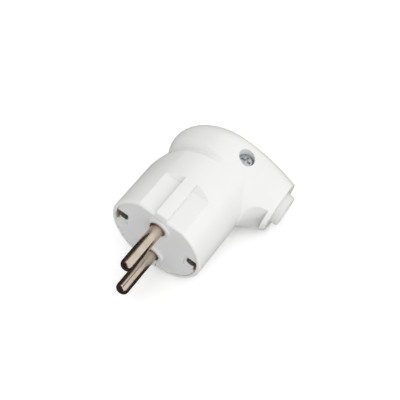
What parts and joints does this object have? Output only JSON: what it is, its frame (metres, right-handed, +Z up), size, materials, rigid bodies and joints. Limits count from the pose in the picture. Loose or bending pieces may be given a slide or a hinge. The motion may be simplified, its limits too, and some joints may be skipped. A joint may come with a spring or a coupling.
{
  "type": "right-angle mains plug",
  "caption": "White right-angle rewirable mains plug with round pins, earth pockets in the face, a finger waist and a side arm with a cable bush.",
  "frame": {"origin": "centre of the pin face, midway between the pins", "axes": "-Y along the pins, out of the face; the plug lies on its side with +Z up and the cable arm towards +X, dipping to the table"},
  "size_m": [0.0484, 0.0682, 0.037],
  "materials": {
    "shell_white": "satin moulded plastic, white",
    "carrier_white": "satin moulded plastic, cool white",
    "nickel": "polished nickel plate on brass",
    "zinc_steel": "bright zinc plate",
    "clamp_grey": "moulded plastic, grey",
    "bush_white": "soft white bush"
  },
  "bodies": {
    "root": {"upper_shell": "shell_white", "lower_shell": "shell_white", "pin_carrier": "carrier_white", "line_pin": "nickel", "neutral_pin": "nickel", "line_terminal_screw": "zinc_steel", "neutral_terminal_screw": "zinc_steel", "earth_strip": "nickel", "earth_washer": "zinc_steel", "earth_screw": "zinc_steel", "housing_screw": "zinc_steel", "housing_nut": "zinc_steel", "cord_clamp": "clamp_grey", "clamp_screw_rear": "zinc_steel", "clamp_screw_front": "zinc_steel", "cable_bush": "bush_white"}
  },
  "joints": []
}
